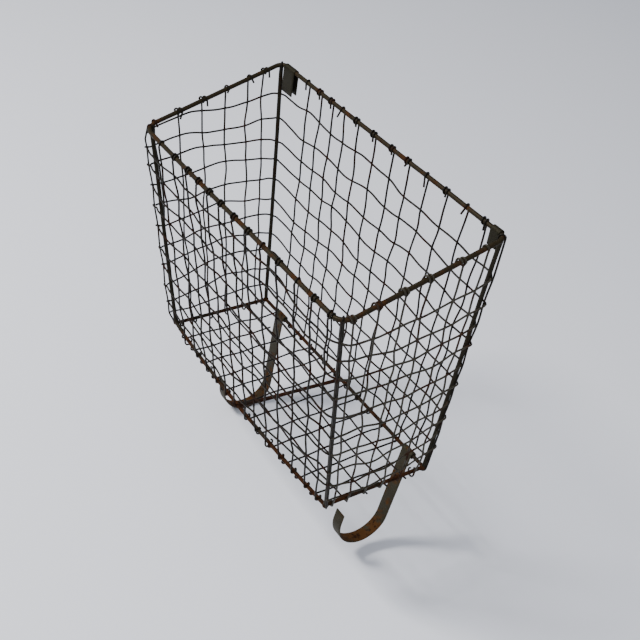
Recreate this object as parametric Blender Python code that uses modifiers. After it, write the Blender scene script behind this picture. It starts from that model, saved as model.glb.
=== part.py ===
"""Hanging wire basket: a welded frame of heavy wire, open at the top and lower at the front,
covered outside with woven mesh, with two strap tabs on the back rim and two J hooks of flat
strap that swing on the back bottom rail.

Metres. +Z up, +X along the back rim, the front of the basket towards -Y.
Origin at the middle of the back rim wire, where the basket is held.
"""
import math

import bmesh
import bpy
from mathutils import Vector

for old in list(bpy.data.objects):
    bpy.data.objects.remove(old)

# Frame.
BACK_LENGTH = 0.350
RIM_DEPTH = 0.153
FRONT_DROP = 0.046
HEIGHT = 0.281
BOTTOM_LENGTH = 0.306
BOTTOM_DEPTH = 0.116
FRAME_R = 0.0020
POST_R = 0.0019
REAR_BEND = 0.008
FRONT_BEND = 0.014
CROSSBAR_FRONT_X = -0.0057
CROSSBAR_BACK_X = 0.0054
GAP = 0.0003

# Mesh.
MESH_R = 0.0007
MESH_OFFSET = FRAME_R + MESH_R + GAP
ROW_TOP = 0.0375
ROW_PITCH = 0.0232
ROW_COUNT = 11
ROW_PAST_POST = 0.0009
CORNER_WIRE_OUT = 0.0027
BOTTOM_LONG_WIRES = 4
BOTTOM_CROSS_WIRES = 12

# Strap tabs on the back rim.
TAB_THICK = 0.0012
TABS = {
    "left": {"x": -0.1575, "width": 0.019, "inner": 0.0250, "outer": 0.0240},
    "right": {"x": 0.1635, "width": 0.011, "inner": 0.0145, "outer": 0.0130},
}

# Strap hooks on the back bottom rail.
HOOK_THICK = 0.0015
HOOK_TIP_WIDTH = 0.013
EYE_R = FRAME_R + GAP + HOOK_THICK / 2
LEFT_HOOK = {
    "x": -0.116,
    "width": 0.0165,
    "leg": 0.0930,
    "heel": 0.0275,
    "toe": 0.0340,
    "tip": 0.009,
    "swing": -3.0,
}
RIGHT_HOOK = {
    "x": 0.1272,
    "width": 0.0155,
    "leg": 0.0815,
    "heel": 0.0265,
    "toe": 0.0335,
    "tip": 0.0095,
    "swing": -9.75,
}

SIDE_LEAN = (BACK_LENGTH - BOTTOM_LENGTH) / 2 / HEIGHT
FRONT_LENGTH = BACK_LENGTH - 2 * SIDE_LEAN * FRONT_DROP

basket = bpy.data.collections.new("hanging_wire_basket")
bpy.context.scene.collection.children.link(basket)


def finish(name, colour, roughness, metallic):
    """A plain painted or rusted wire finish."""
    made = bpy.data.materials.new(name)
    made.use_nodes = True
    shader = made.node_tree.nodes["Principled BSDF"]
    shader.inputs["Base Color"].default_value = (*colour, 1)
    shader.inputs["Roughness"].default_value = roughness
    shader.inputs["Metallic"].default_value = metallic
    return made


def add_mesh(name, shape, colour, roughness=0.75, metallic=0.6):
    """Puts a closed bmesh in the basket as its own named piece."""
    bmesh.ops.recalc_face_normals(shape, faces=shape.faces)
    data = bpy.data.meshes.new(name)
    shape.to_mesh(data)
    shape.free()
    piece = bpy.data.objects.new(name, data)
    data.materials.append(finish(name, colour, roughness, metallic))
    basket.objects.link(piece)
    return piece


def add_rod(name, start, end, radius, colour):
    """A straight round rod with flat ends."""
    start = Vector(start)
    end = Vector(end)
    along = end - start
    shape = bmesh.new()
    bmesh.ops.create_cone(
        shape,
        cap_ends=True,
        segments=10,
        radius1=radius,
        radius2=radius,
        depth=along.length,
    )
    turn = along.to_track_quat("Z", "Y").to_matrix()
    bmesh.ops.rotate(shape, cent=(0, 0, 0), matrix=turn, verts=shape.verts)
    bmesh.ops.translate(shape, vec=(start + end) / 2, verts=shape.verts)
    piece = add_mesh(name, shape, colour)
    for face in piece.data.polygons:
        face.use_smooth = len(face.vertices) == 4
    return piece


def rounded(corner, before, after, radius, steps=5):
    """Points of the bend that a wire takes at a corner."""
    corner = Vector(corner)
    towards_before = (Vector(before) - corner).normalized()
    towards_after = (Vector(after) - corner).normalized()
    half = towards_before.angle(towards_after) / 2
    centre = corner + (towards_before + towards_after).normalized() * radius / math.sin(half)
    start = corner + towards_before * radius / math.tan(half) - centre
    end = corner + towards_after * radius / math.tan(half) - centre
    sweep = start.angle(end)
    points = []
    for step in range(steps + 1):
        share = step / steps
        arm = start * math.sin((1 - share) * sweep) + end * math.sin(share * sweep)
        points.append(centre + arm / math.sin(sweep))
    return points


# Rim: one wire bent round the opening, welded shut.
rim_corners = [
    (-BACK_LENGTH / 2, 0, 0),
    (BACK_LENGTH / 2, 0, 0),
    (FRONT_LENGTH / 2, -RIM_DEPTH, -FRONT_DROP),
    (-FRONT_LENGTH / 2, -RIM_DEPTH, -FRONT_DROP),
]
rim_bends = [REAR_BEND, REAR_BEND, FRONT_BEND, FRONT_BEND]
rim_points = []
bend_middles = []
for index in range(4):
    bend = rounded(
        rim_corners[index],
        rim_corners[index - 1],
        rim_corners[(index + 1) % 4],
        rim_bends[index],
        6,
    )
    bend_middles.append(bend[3])
    rim_points.extend(bend)
rim_curve = bpy.data.curves.new("rim_wire", "CURVE")
rim_curve.dimensions = "3D"
rim_curve.bevel_depth = FRAME_R
rim_curve.bevel_resolution = 3
rim_spline = rim_curve.splines.new("POLY")
rim_spline.points.add(len(rim_points) - 1)
for spot, position in zip(rim_spline.points, rim_points):
    spot.co = (*position, 1)
rim_spline.use_cyclic_u = True
rim_curve.materials.append(finish("rim_wire", (0.060, 0.042, 0.026), 0.75, 0.6))
rim_wire = bpy.data.objects.new("rim_wire", rim_curve)
basket.objects.link(rim_wire)

# Bottom: front and back rails run the full length, the short rails and crossbar butt between them.
half_length = BOTTOM_LENGTH / 2
rail_brown = (0.075, 0.042, 0.024)
add_rod(
    "bottom_rail_back",
    (-half_length, 0, -HEIGHT),
    (half_length, 0, -HEIGHT),
    FRAME_R,
    rail_brown,
)
add_rod(
    "bottom_rail_front",
    (-half_length, -BOTTOM_DEPTH, -HEIGHT),
    (half_length, -BOTTOM_DEPTH, -HEIGHT),
    FRAME_R,
    rail_brown,
)
butt = FRAME_R + GAP
for side_name, side in (("left", -1), ("right", 1)):
    rail_x = side * (half_length - FRAME_R)
    add_rod(
        "bottom_rail_" + side_name,
        (rail_x, -butt, -HEIGHT),
        (rail_x, -BOTTOM_DEPTH + butt, -HEIGHT),
        FRAME_R,
        rail_brown,
    )
bar_run = (CROSSBAR_FRONT_X - CROSSBAR_BACK_X) / BOTTOM_DEPTH
add_rod(
    "bottom_crossbar",
    (CROSSBAR_BACK_X + bar_run * butt, -butt - GAP, -HEIGHT),
    (CROSSBAR_FRONT_X - bar_run * butt, -BOTTOM_DEPTH + butt + GAP, -HEIGHT),
    FRAME_R,
    (0.110, 0.050, 0.026),
)

# Corner posts, from the rim's bends down to the ends of the long bottom rails.
post_names = ["back_left", "back_right", "front_right", "front_left"]
post_feet = [
    (-half_length + POST_R, 0, -HEIGHT),
    (half_length - POST_R, 0, -HEIGHT),
    (half_length - POST_R, -BOTTOM_DEPTH, -HEIGHT),
    (-half_length + POST_R, -BOTTOM_DEPTH, -HEIGHT),
]
post_lines = {}
for post_name, head, foot in zip(post_names, bend_middles, post_feet):
    foot = Vector(foot)
    down = (foot - head).normalized()
    post_top = head + down * (FRAME_R + POST_R * 0.55 + GAP)
    post_base = foot - down * (FRAME_R + POST_R * 0.35 + GAP)
    add_rod("corner_post_" + post_name, post_top, post_base, POST_R, (0.050, 0.045, 0.030))
    post_lines[post_name] = (head, foot)


class Lattice:
    """Crossing wires in one flat panel, joined where they cross, as one closed body.

    A wire has a diamond section: two points on the panel's plane and one on each side of it.
    """

    def __init__(self, across, up):
        self.across = Vector(across).normalized()
        self.up = Vector(up).normalized()
        self.out = self.across.cross(self.up).normalized()
        self.spots = {}
        self.links = {}

    def add(self, key, position):
        self.spots[key] = Vector(position)
        self.links[key] = {}

    def join(self, low, high, way):
        """way is 'up' or 'across', from low to high."""
        opposite = {"up": "down", "across": "back"}[way]
        self.links[low][way] = high
        self.links[high][opposite] = low

    def piece(self, name, colour):
        shape = bmesh.new()
        rings = {}
        reach = MESH_R * 1.1
        for key, position in self.spots.items():
            corners = {}
            for a in (-1, 1):
                for b in (-1, 1):
                    offset = self.across * a * reach + self.up * b * reach
                    corners[(a, b)] = shape.verts.new(position + offset)
            top = shape.verts.new(position + self.out * MESH_R)
            under = shape.verts.new(position - self.out * MESH_R)
            rings[key] = {
                "up": (top, corners[(1, 1)], under, corners[(-1, 1)]),
                "down": (top, corners[(1, -1)], under, corners[(-1, -1)]),
                "across": (top, corners[(1, 1)], under, corners[(1, -1)]),
                "back": (top, corners[(-1, 1)], under, corners[(-1, -1)]),
            }
        for key, ways in self.links.items():
            for way in ("up", "down", "across", "back"):
                ring = rings[key][way]
                if way not in ways:
                    shape.faces.new((ring[0], ring[1], ring[3]))
                    shape.faces.new((ring[2], ring[3], ring[1]))
                elif way in ("up", "across"):
                    other = rings[ways[way]][{"up": "down", "across": "back"}[way]]
                    for side in range(4):
                        nxt = (side + 1) % 4
                        shape.faces.new((ring[side], ring[nxt], other[nxt], other[side]))
        return add_mesh(name, shape, colour, 0.7, 0.7)


def at_height(top, foot, z):
    """The point of the line from top to foot that lies at this height."""
    return top + (foot - top) * (z - top.z) / (foot.z - top.z)


def side_panel(name, corners, posts, shares, short_foot, colour):
    """Mesh on one upright side: wires down from the rim, and level wires across them.

    corners holds the rim's and the foot's two corners and posts the two corner posts, all in
    the order of shares. Level wires end just past the posts. short_foot holds the x ranges in
    which an upright wire stops at the lowest level wire, clear of a hook.
    """
    rim_start, rim_end, foot_start, foot_end = (Vector(corner) for corner in corners)
    across = (foot_end - foot_start).normalized()
    up = ((rim_start - foot_start) + (rim_end - foot_end)).normalized()
    out = across.cross(up).normalized()
    panel = Lattice(across, up - across * up.dot(across))
    shift = out * MESH_OFFSET
    columns = []
    for share in shares:
        head = rim_start.lerp(rim_end, share) + shift
        foot = foot_start.lerp(foot_end, share) + shift
        columns.append((head, foot))
    lines = list(columns)
    for post, way in zip(posts, (-1, 1)):
        head, foot = post_lines[post]
        past = shift + across * way * ROW_PAST_POST
        lines.insert(0 if way < 0 else len(lines), (head + past, foot + past))
    for row in range(ROW_COUNT - 1, -1, -1):
        z = -(ROW_TOP + ROW_PITCH * row)
        row_keys = []
        for index, line in enumerate(lines):
            if line[0].z - z > 0.004:
                key = (index, row)
                panel.add(key, at_height(line[0], line[1], z))
                row_keys.append(key)
        for first, second in zip(row_keys, row_keys[1:]):
            panel.join(first, second, "across")
        for index in range(1, len(columns) + 1):
            if (index, row) in panel.spots and (index, row + 1) in panel.spots:
                panel.join((index, row + 1), (index, row), "up")
    for index, line in enumerate(columns, 1):
        rows = [row for row in range(ROW_COUNT) if (index, row) in panel.spots]
        top_key = (index, "rim")
        panel.add(top_key, line[0] + up * 0.0012)
        panel.join((index, min(rows)), top_key, "up")
        foot_x = line[1].x
        if any(low < foot_x < high for low, high in short_foot):
            continue
        foot_key = (index, "foot")
        panel.add(foot_key, line[1])
        panel.join(foot_key, (index, max(rows)), "up")
    return panel.piece(name, colour)


mesh_brown = (0.048, 0.038, 0.030)
back_shares = [0.139, 0.202, 0.260, 0.315, 0.383, 0.463]
back_shares += [0.546, 0.615, 0.694, 0.774, 0.854, 0.922]
front_shares = [0.102, 0.184, 0.260, 0.319, 0.376, 0.438, 0.506]
front_shares += [0.580, 0.648, 0.726, 0.813, 0.889, 0.967]
left_shares = [0.072, 0.249, 0.427, 0.599, 0.762, 0.874]
right_shares = [0.063, 0.218, 0.379, 0.527, 0.725, 0.876]
hook_ranges = []
for hook in (LEFT_HOOK, RIGHT_HOOK):
    hook_clear = hook["width"] / 2 + 0.0015
    hook_ranges.append((hook["x"] - hook_clear, hook["x"] + hook_clear))

bottom_corners = [
    (-half_length, 0, -HEIGHT),
    (half_length, 0, -HEIGHT),
    (half_length, -BOTTOM_DEPTH, -HEIGHT),
    (-half_length, -BOTTOM_DEPTH, -HEIGHT),
]
side_panels = [
    ("front_mesh", 3, 2, front_shares, []),
    ("back_mesh", 1, 0, [1 - share for share in reversed(back_shares)], hook_ranges),
    ("left_mesh", 0, 3, [1 - share for share in reversed(left_shares)], []),
    ("right_mesh", 2, 1, right_shares, []),
]
for panel_name, first, last, shares, short_foot in side_panels:
    panel_corners = [
        rim_corners[first],
        rim_corners[last],
        bottom_corners[first],
        bottom_corners[last],
    ]
    panel_posts = (post_names[first], post_names[last])
    side_panel(panel_name, panel_corners, panel_posts, shares, short_foot, mesh_brown)

# Bottom mesh, under the rails. A cross wire that would meet a hook's eye stops short of it.
floor_panel = Lattice((1, 0, 0), (0, 1, 0))
floor_z = -HEIGHT - MESH_OFFSET
cross_x = []
for number in range(BOTTOM_CROSS_WIRES):
    cross_x.append(-half_length + BOTTOM_LENGTH * (number + 1) / (BOTTOM_CROSS_WIRES + 1))
long_y = []
for number in range(BOTTOM_LONG_WIRES):
    long_y.append(-BOTTOM_DEPTH * (BOTTOM_LONG_WIRES - number) / (BOTTOM_LONG_WIRES + 1))
for row, y in enumerate(long_y):
    row_x = [-half_length] + cross_x + [half_length]
    for index, x in enumerate(row_x):
        floor_panel.add((index, row), (x, y, floor_z))
        if index:
            floor_panel.join((index - 1, row), (index, row), "across")
        if row and 0 < index < len(row_x) - 1:
            floor_panel.join((index, row - 1), (index, row), "up")
for index, x in enumerate(cross_x, 1):
    floor_panel.add((index, "front"), (x, -BOTTOM_DEPTH, floor_z))
    floor_panel.join((index, "front"), (index, 0), "up")
    if any(low < x < high for low, high in hook_ranges):
        continue
    floor_panel.add((index, "back"), (x, 0, floor_z))
    floor_panel.join((index, BOTTOM_LONG_WIRES - 1), (index, "back"), "up")
floor_panel.piece("bottom_mesh", mesh_brown)

# Corner mesh wires, outside the posts, where the level wires of two sides turn.
corner_ways = {
    "back_left": (-1, 1),
    "back_right": (1, 1),
    "front_right": (1, -1),
    "front_left": (-1, -1),
}
for post_name, (head, foot) in post_lines.items():
    way_x, way_y = corner_ways[post_name]
    outward = Vector((way_x * CORNER_WIRE_OUT, way_y * CORNER_WIRE_OUT, 0))
    head = head + outward + Vector((0, 0, 0.0012))
    add_rod("corner_wire_" + post_name, head, foot + outward, MESH_R, mesh_brown)


def add_strap(name, path, centre_x, widths, thickness, colour, roughness):
    """Flat strap that follows a path of (y, z) points, as a ribbon given its thickness.

    widths holds the strap's width at the path's start and at its end.
    """
    shape = bmesh.new()
    edges = []
    for number, (y, z) in enumerate(path):
        half = (widths[0] + (widths[1] - widths[0]) * number / (len(path) - 1)) / 2
        left = shape.verts.new((centre_x - half, y, z))
        right = shape.verts.new((centre_x + half, y, z))
        edges.append((left, right))
    for (a, b), (c, d) in zip(edges, edges[1:]):
        shape.faces.new((a, b, d, c))
    data = bpy.data.meshes.new(name)
    shape.to_mesh(data)
    shape.free()
    data.materials.append(finish(name, colour, roughness, 0.6))
    strap = bpy.data.objects.new(name, data)
    basket.objects.link(strap)
    solid = strap.modifiers.new("strap_thickness", "SOLIDIFY")
    solid.thickness = thickness
    solid.offset = 0
    solid.use_even_offset = True
    return strap


def arc(centre_y, centre_z, radius, start, end, steps):
    """Points of an arc in the (y, z) plane, with angles in degrees from +y towards +z."""
    points = []
    for step in range(steps + 1):
        angle = math.radians(start + (end - start) * step / steps)
        points.append((centre_y + radius * math.cos(angle), centre_z + radius * math.sin(angle)))
    return points


# Tabs: strap folded over the rim wire, with the long leaf inside the basket.
fold_r = FRAME_R + GAP + TAB_THICK / 2
for side_name, tab in TABS.items():
    outer_end, inner_end = (fold_r, -tab["outer"]), (-fold_r, -tab["inner"])
    add_strap(
        "rim_tab_" + side_name,
        [outer_end] + arc(0, 0, fold_r, 0, 180, 8) + [inner_end],
        tab["x"],
        (tab["width"], tab["width"]),
        TAB_THICK,
        (0.055, 0.050, 0.038),
        0.7,
    )


def add_hook(name, hook, colour):
    """A J of flat strap whose top is rolled round the back bottom rail."""
    leg_y = -EYE_R
    leg, heel, toe = hook["leg"], hook["heel"], hook["toe"]
    path = arc(0, 0, EYE_R, -108, 180, 14)
    path += arc(leg_y - heel, -leg, heel, 0, -90, 7)
    path += arc(leg_y - heel, -leg - heel + toe, toe, -90, -180, 7)[1:]
    toe_y, toe_z = path[-1]
    path.append((toe_y, toe_z + hook["tip"]))
    swing = math.radians(hook["swing"])
    turned = []
    for y, z in path:
        turned_y = y * math.cos(swing) - z * math.sin(swing)
        turned_z = y * math.sin(swing) + z * math.cos(swing)
        turned.append((turned_y, turned_z - HEIGHT))
    widths = (hook["width"], HOOK_TIP_WIDTH)
    add_strap(name, turned, hook["x"], widths, HOOK_THICK, colour, 0.8)


add_hook("hook_left", LEFT_HOOK, (0.150, 0.062, 0.026))
add_hook("hook_right", RIGHT_HOOK, (0.165, 0.070, 0.028))
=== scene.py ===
import math
import random

import bmesh
import bpy
from mathutils import Matrix, Vector


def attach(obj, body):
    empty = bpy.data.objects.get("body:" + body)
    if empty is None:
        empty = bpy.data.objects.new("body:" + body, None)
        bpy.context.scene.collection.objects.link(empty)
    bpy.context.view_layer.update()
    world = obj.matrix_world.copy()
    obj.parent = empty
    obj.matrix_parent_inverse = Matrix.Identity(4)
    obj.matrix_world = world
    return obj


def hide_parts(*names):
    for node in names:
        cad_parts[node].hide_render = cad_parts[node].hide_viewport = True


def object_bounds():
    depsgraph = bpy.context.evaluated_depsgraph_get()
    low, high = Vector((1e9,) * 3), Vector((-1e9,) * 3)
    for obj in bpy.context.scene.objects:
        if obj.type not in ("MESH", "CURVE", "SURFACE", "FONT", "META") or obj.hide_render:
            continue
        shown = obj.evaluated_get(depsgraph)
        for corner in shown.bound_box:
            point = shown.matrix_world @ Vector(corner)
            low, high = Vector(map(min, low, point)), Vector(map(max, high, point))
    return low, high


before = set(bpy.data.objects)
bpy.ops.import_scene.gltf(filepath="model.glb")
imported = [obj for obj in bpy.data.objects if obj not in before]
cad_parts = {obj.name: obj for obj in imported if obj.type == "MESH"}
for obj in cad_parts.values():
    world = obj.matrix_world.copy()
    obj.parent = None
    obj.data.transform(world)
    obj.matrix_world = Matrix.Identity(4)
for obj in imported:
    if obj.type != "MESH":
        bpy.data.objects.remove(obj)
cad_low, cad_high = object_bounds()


# ---------------------------------------------------------------------------------------------
# Rim. One length of heavy steel wire bent round the opening and butt welded, high at the back
# and lower at the front, with tight bends behind and open bends in front. It has a dull olive
# brown skin that has gone to brown rust in patches.

BACK_LENGTH = 0.350
RIM_DEPTH = 0.153
FRONT_DROP = 0.046
HEIGHT = 0.281
BOTTOM_LENGTH = 0.306
BOTTOM_DEPTH = 0.116
FRAME_R = 0.0020
RUSTED_RIM_R = FRAME_R * 1.12
REAR_BEND = 0.008
FRONT_BEND = 0.014
FOOT_BEND = 0.004

SIDE_LEAN = (BACK_LENGTH - BOTTOM_LENGTH) / 2 / HEIGHT
FRONT_LENGTH = BACK_LENGTH - 2 * SIDE_LEAN * FRONT_DROP


def group_with(name, kind, inputs, outputs):
    """An empty node group with named inputs and outputs."""
    made = bpy.data.node_groups.new(name, kind)
    for label, socket, value in inputs:
        put = made.interface.new_socket(name=label, in_out="INPUT", socket_type=socket)
        if value is not None:
            put.default_value = value
    for label, socket in outputs:
        made.interface.new_socket(name=label, in_out="OUTPUT", socket_type=socket)
    return made


def rust_bloom_group():
    """Where rust has bloomed through the skin of old wire: patches, fine grain and a height."""
    made = group_with(
        "rust_bloom",
        "ShaderNodeTree",
        [
            ("Patch Scale", "NodeSocketFloat", 40.0),
            ("Coverage", "NodeSocketFloat", 0.5),
            ("Grain Scale", "NodeSocketFloat", 900.0),
        ],
        [
            ("Rust", "NodeSocketFloat"),
            ("Speckle", "NodeSocketFloat"),
            ("Height", "NodeSocketFloat"),
        ],
    )
    nodes, links = made.nodes, made.links
    inlet = nodes.new("NodeGroupInput")
    outlet = nodes.new("NodeGroupOutput")
    place = nodes.new("ShaderNodeTexCoord")
    patch = nodes.new("ShaderNodeTexNoise")
    patch.inputs["Detail"].default_value = 5
    patch.inputs["Roughness"].default_value = 0.62
    links.new(place.outputs["Object"], patch.inputs["Vector"])
    links.new(inlet.outputs["Patch Scale"], patch.inputs["Scale"])
    grain = nodes.new("ShaderNodeTexNoise")
    grain.inputs["Detail"].default_value = 3
    links.new(place.outputs["Object"], grain.inputs["Vector"])
    links.new(inlet.outputs["Grain Scale"], grain.inputs["Scale"])
    # The patch noise sits between about 0.3 and 0.7, so coverage moves the edge inside that.
    edge = nodes.new("ShaderNodeMath")
    edge.operation = "MULTIPLY_ADD"
    edge.inputs[1].default_value = -0.42
    edge.inputs[2].default_value = 0.71
    links.new(inlet.outputs["Coverage"], edge.inputs[0])
    soft = nodes.new("ShaderNodeMath")
    soft.operation = "ADD"
    soft.inputs[1].default_value = 0.13
    links.new(edge.outputs[0], soft.inputs[0])
    rust = nodes.new("ShaderNodeMapRange")
    rust.interpolation_type = "SMOOTHSTEP"
    links.new(patch.outputs["Fac"], rust.inputs["Value"])
    links.new(edge.outputs[0], rust.inputs["From Min"])
    links.new(soft.outputs[0], rust.inputs["From Max"])
    links.new(rust.outputs["Result"], outlet.inputs["Rust"])
    speckle = nodes.new("ShaderNodeMapRange")
    speckle.inputs["From Min"].default_value = 0.42
    speckle.inputs["From Max"].default_value = 0.64
    links.new(grain.outputs["Fac"], speckle.inputs["Value"])
    links.new(speckle.outputs["Result"], outlet.inputs["Speckle"])
    height = nodes.new("ShaderNodeMath")
    height.operation = "MULTIPLY_ADD"
    height.inputs[1].default_value = 0.6
    links.new(rust.outputs["Result"], height.inputs[0])
    links.new(grain.outputs["Fac"], height.inputs[2])
    links.new(height.outputs[0], outlet.inputs["Height"])
    return made


rust_bloom = rust_bloom_group()


def old_steel(name, skin, worn, rust, deep_rust, coverage, patch_scale=45, shine=0.5, bump=0.25):
    """Old bare steel: a dark skin, worn lighter in specks, with two tones of rust over it."""
    made = bpy.data.materials.new(name)
    made.use_nodes = True
    nodes, links = made.node_tree.nodes, made.node_tree.links
    shader = nodes["Principled BSDF"]
    shader.inputs["Specular IOR Level"].default_value = 0.09
    bloom = nodes.new("ShaderNodeGroup")
    bloom.name = "bloom"
    bloom.node_tree = rust_bloom
    bloom.inputs["Patch Scale"].default_value = patch_scale
    bloom.inputs["Coverage"].default_value = coverage
    bloom.inputs["Grain Scale"].default_value = 1100
    fine = nodes.new("ShaderNodeGroup")
    fine.node_tree = rust_bloom
    fine.inputs["Patch Scale"].default_value = patch_scale * 4.3
    fine.inputs["Coverage"].default_value = 0.5
    fine.inputs["Grain Scale"].default_value = 2300

    def blend(share, low, high):
        mix = nodes.new("ShaderNodeMix")
        mix.data_type = "RGBA"
        links.new(share, mix.inputs["Factor"])
        for socket, colour in ((mix.inputs[6], low), (mix.inputs[7], high)):
            if isinstance(colour, tuple):
                socket.default_value = (*colour, 1)
            else:
                links.new(colour, socket)
        return mix.outputs[2]

    skin_mix = blend(fine.outputs["Speckle"], skin, worn)
    rust_mix = blend(fine.outputs["Rust"], rust, deep_rust)
    links.new(blend(bloom.outputs["Rust"], skin_mix, rust_mix), shader.inputs["Base Color"])
    rough = nodes.new("ShaderNodeMapRange")
    rough.inputs["To Min"].default_value = shine
    rough.inputs["To Max"].default_value = 0.92
    links.new(bloom.outputs["Rust"], rough.inputs["Value"])
    links.new(rough.outputs["Result"], shader.inputs["Roughness"])
    metal = nodes.new("ShaderNodeMapRange")
    metal.inputs["To Min"].default_value = 0.30
    metal.inputs["To Max"].default_value = 0.05
    links.new(bloom.outputs["Rust"], metal.inputs["Value"])
    links.new(metal.outputs["Result"], shader.inputs["Metallic"])
    relief = nodes.new("ShaderNodeBump")
    relief.inputs["Strength"].default_value = bump
    relief.inputs["Distance"].default_value = 0.0004
    links.new(bloom.outputs["Height"], relief.inputs["Height"])
    links.new(relief.outputs["Normal"], shader.inputs["Normal"])
    return made


def drawn_wire_tree():
    """Draws round wire along every path of a mesh of edges, a little bent and uneven."""
    made = group_with(
        "drawn_wire",
        "GeometryNodeTree",
        [
            ("Paths", "NodeSocketGeometry", None),
            ("Wire Radius", "NodeSocketFloat", 0.001),
            ("Sides", "NodeSocketInt", 10),
            ("Bend Amount", "NodeSocketFloat", 0.001),
            ("Bend Share", "NodeSocketVector", (1.0, 1.0, 1.0)),
            ("Bend Scale", "NodeSocketFloat", 15.0),
            ("Unevenness", "NodeSocketFloat", 0.1),
            ("Seed", "NodeSocketFloat", 1.0),
            ("Finish", "NodeSocketMaterial", None),
        ],
        [("Wire", "NodeSocketGeometry")],
    )
    nodes, links = made.nodes, made.links
    inlet = nodes.new("NodeGroupInput")
    outlet = nodes.new("NodeGroupOutput")
    place = nodes.new("GeometryNodeInputPosition")
    sway = nodes.new("ShaderNodeTexNoise")
    sway.noise_dimensions = "4D"
    sway.inputs["Detail"].default_value = 1.5
    links.new(place.outputs[0], sway.inputs["Vector"])
    links.new(inlet.outputs["Seed"], sway.inputs["W"])
    links.new(inlet.outputs["Bend Scale"], sway.inputs["Scale"])
    centred = nodes.new("ShaderNodeVectorMath")
    centred.operation = "SUBTRACT"
    centred.inputs[1].default_value = (0.5, 0.5, 0.5)
    links.new(sway.outputs["Color"], centred.inputs[0])
    slack = nodes.new("GeometryNodeInputNamedAttribute")
    slack.data_type = "FLOAT"
    slack.inputs["Name"].default_value = "slack"
    amount = nodes.new("ShaderNodeMath")
    amount.operation = "MULTIPLY"
    links.new(slack.outputs["Attribute"], amount.inputs[0])
    links.new(inlet.outputs["Bend Amount"], amount.inputs[1])
    shared = nodes.new("ShaderNodeVectorMath")
    shared.operation = "MULTIPLY"
    links.new(centred.outputs[0], shared.inputs[0])
    links.new(inlet.outputs["Bend Share"], shared.inputs[1])
    bend = nodes.new("ShaderNodeVectorMath")
    bend.operation = "SCALE"
    links.new(shared.outputs[0], bend.inputs[0])
    links.new(amount.outputs[0], bend.inputs["Scale"])
    bent = nodes.new("GeometryNodeSetPosition")
    links.new(inlet.outputs["Paths"], bent.inputs["Geometry"])
    links.new(bend.outputs[0], bent.inputs["Offset"])
    run = nodes.new("GeometryNodeMeshToCurve")
    links.new(bent.outputs[0], run.inputs["Mesh"])
    lumps = nodes.new("ShaderNodeTexNoise")
    lumps.noise_dimensions = "4D"
    lumps.inputs["Scale"].default_value = 130
    links.new(place.outputs[0], lumps.inputs["Vector"])
    links.new(inlet.outputs["Seed"], lumps.inputs["W"])
    swell = nodes.new("ShaderNodeMath")
    swell.operation = "SUBTRACT"
    swell.inputs[1].default_value = 0.5
    links.new(lumps.outputs["Fac"], swell.inputs[0])
    girth = nodes.new("ShaderNodeMath")
    girth.operation = "MULTIPLY_ADD"
    girth.inputs[2].default_value = 1.0
    links.new(swell.outputs[0], girth.inputs[0])
    links.new(inlet.outputs["Unevenness"], girth.inputs[1])
    sized = nodes.new("GeometryNodeSetCurveRadius")
    links.new(run.outputs[0], sized.inputs["Curve"])
    links.new(girth.outputs[0], sized.inputs["Radius"])
    section = nodes.new("GeometryNodeCurvePrimitiveCircle")
    links.new(inlet.outputs["Sides"], section.inputs["Resolution"])
    links.new(inlet.outputs["Wire Radius"], section.inputs["Radius"])
    wire = nodes.new("GeometryNodeCurveToMesh")
    wire.inputs["Fill Caps"].default_value = True
    links.new(sized.outputs[0], wire.inputs["Curve"])
    links.new(section.outputs[0], wire.inputs["Profile Curve"])
    follow = nodes.new("GeometryNodeInputRadius")
    links.new(follow.outputs[0], wire.inputs["Scale"])
    smooth = nodes.new("GeometryNodeSetShadeSmooth")
    links.new(wire.outputs[0], smooth.inputs["Geometry"])
    real = nodes.new("GeometryNodeRealizeInstances")
    links.new(smooth.outputs[0], real.inputs["Geometry"])
    finish = nodes.new("GeometryNodeSetMaterial")
    links.new(real.outputs[0], finish.inputs["Geometry"])
    links.new(inlet.outputs["Finish"], finish.inputs["Material"])
    links.new(finish.outputs[0], outlet.inputs["Wire"])
    return made


drawn_wire = drawn_wire_tree()


def plain_piece(name, worker):
    """The evaluated shape of a worker object, as a plain mesh object of its own."""
    graph = bpy.context.evaluated_depsgraph_get()
    data = bpy.data.meshes.new_from_object(worker.evaluated_get(graph))
    bpy.data.objects.remove(worker)
    data.name = name
    piece = bpy.data.objects.new(name, data)
    bpy.context.scene.collection.objects.link(piece)
    return piece


def run_through_tree(name, worker, tree, values):
    """Gives a worker object a Geometry Nodes tree with these named inputs, and takes its mesh."""
    made = worker.modifiers.new(tree.name, "NODES")
    made.node_group = tree
    for item in tree.interface.items_tree:
        if item.in_out == "INPUT" and item.name in values:
            made[item.identifier] = values[item.name]
    bpy.context.view_layer.update()
    return plain_piece(name, worker)


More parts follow.
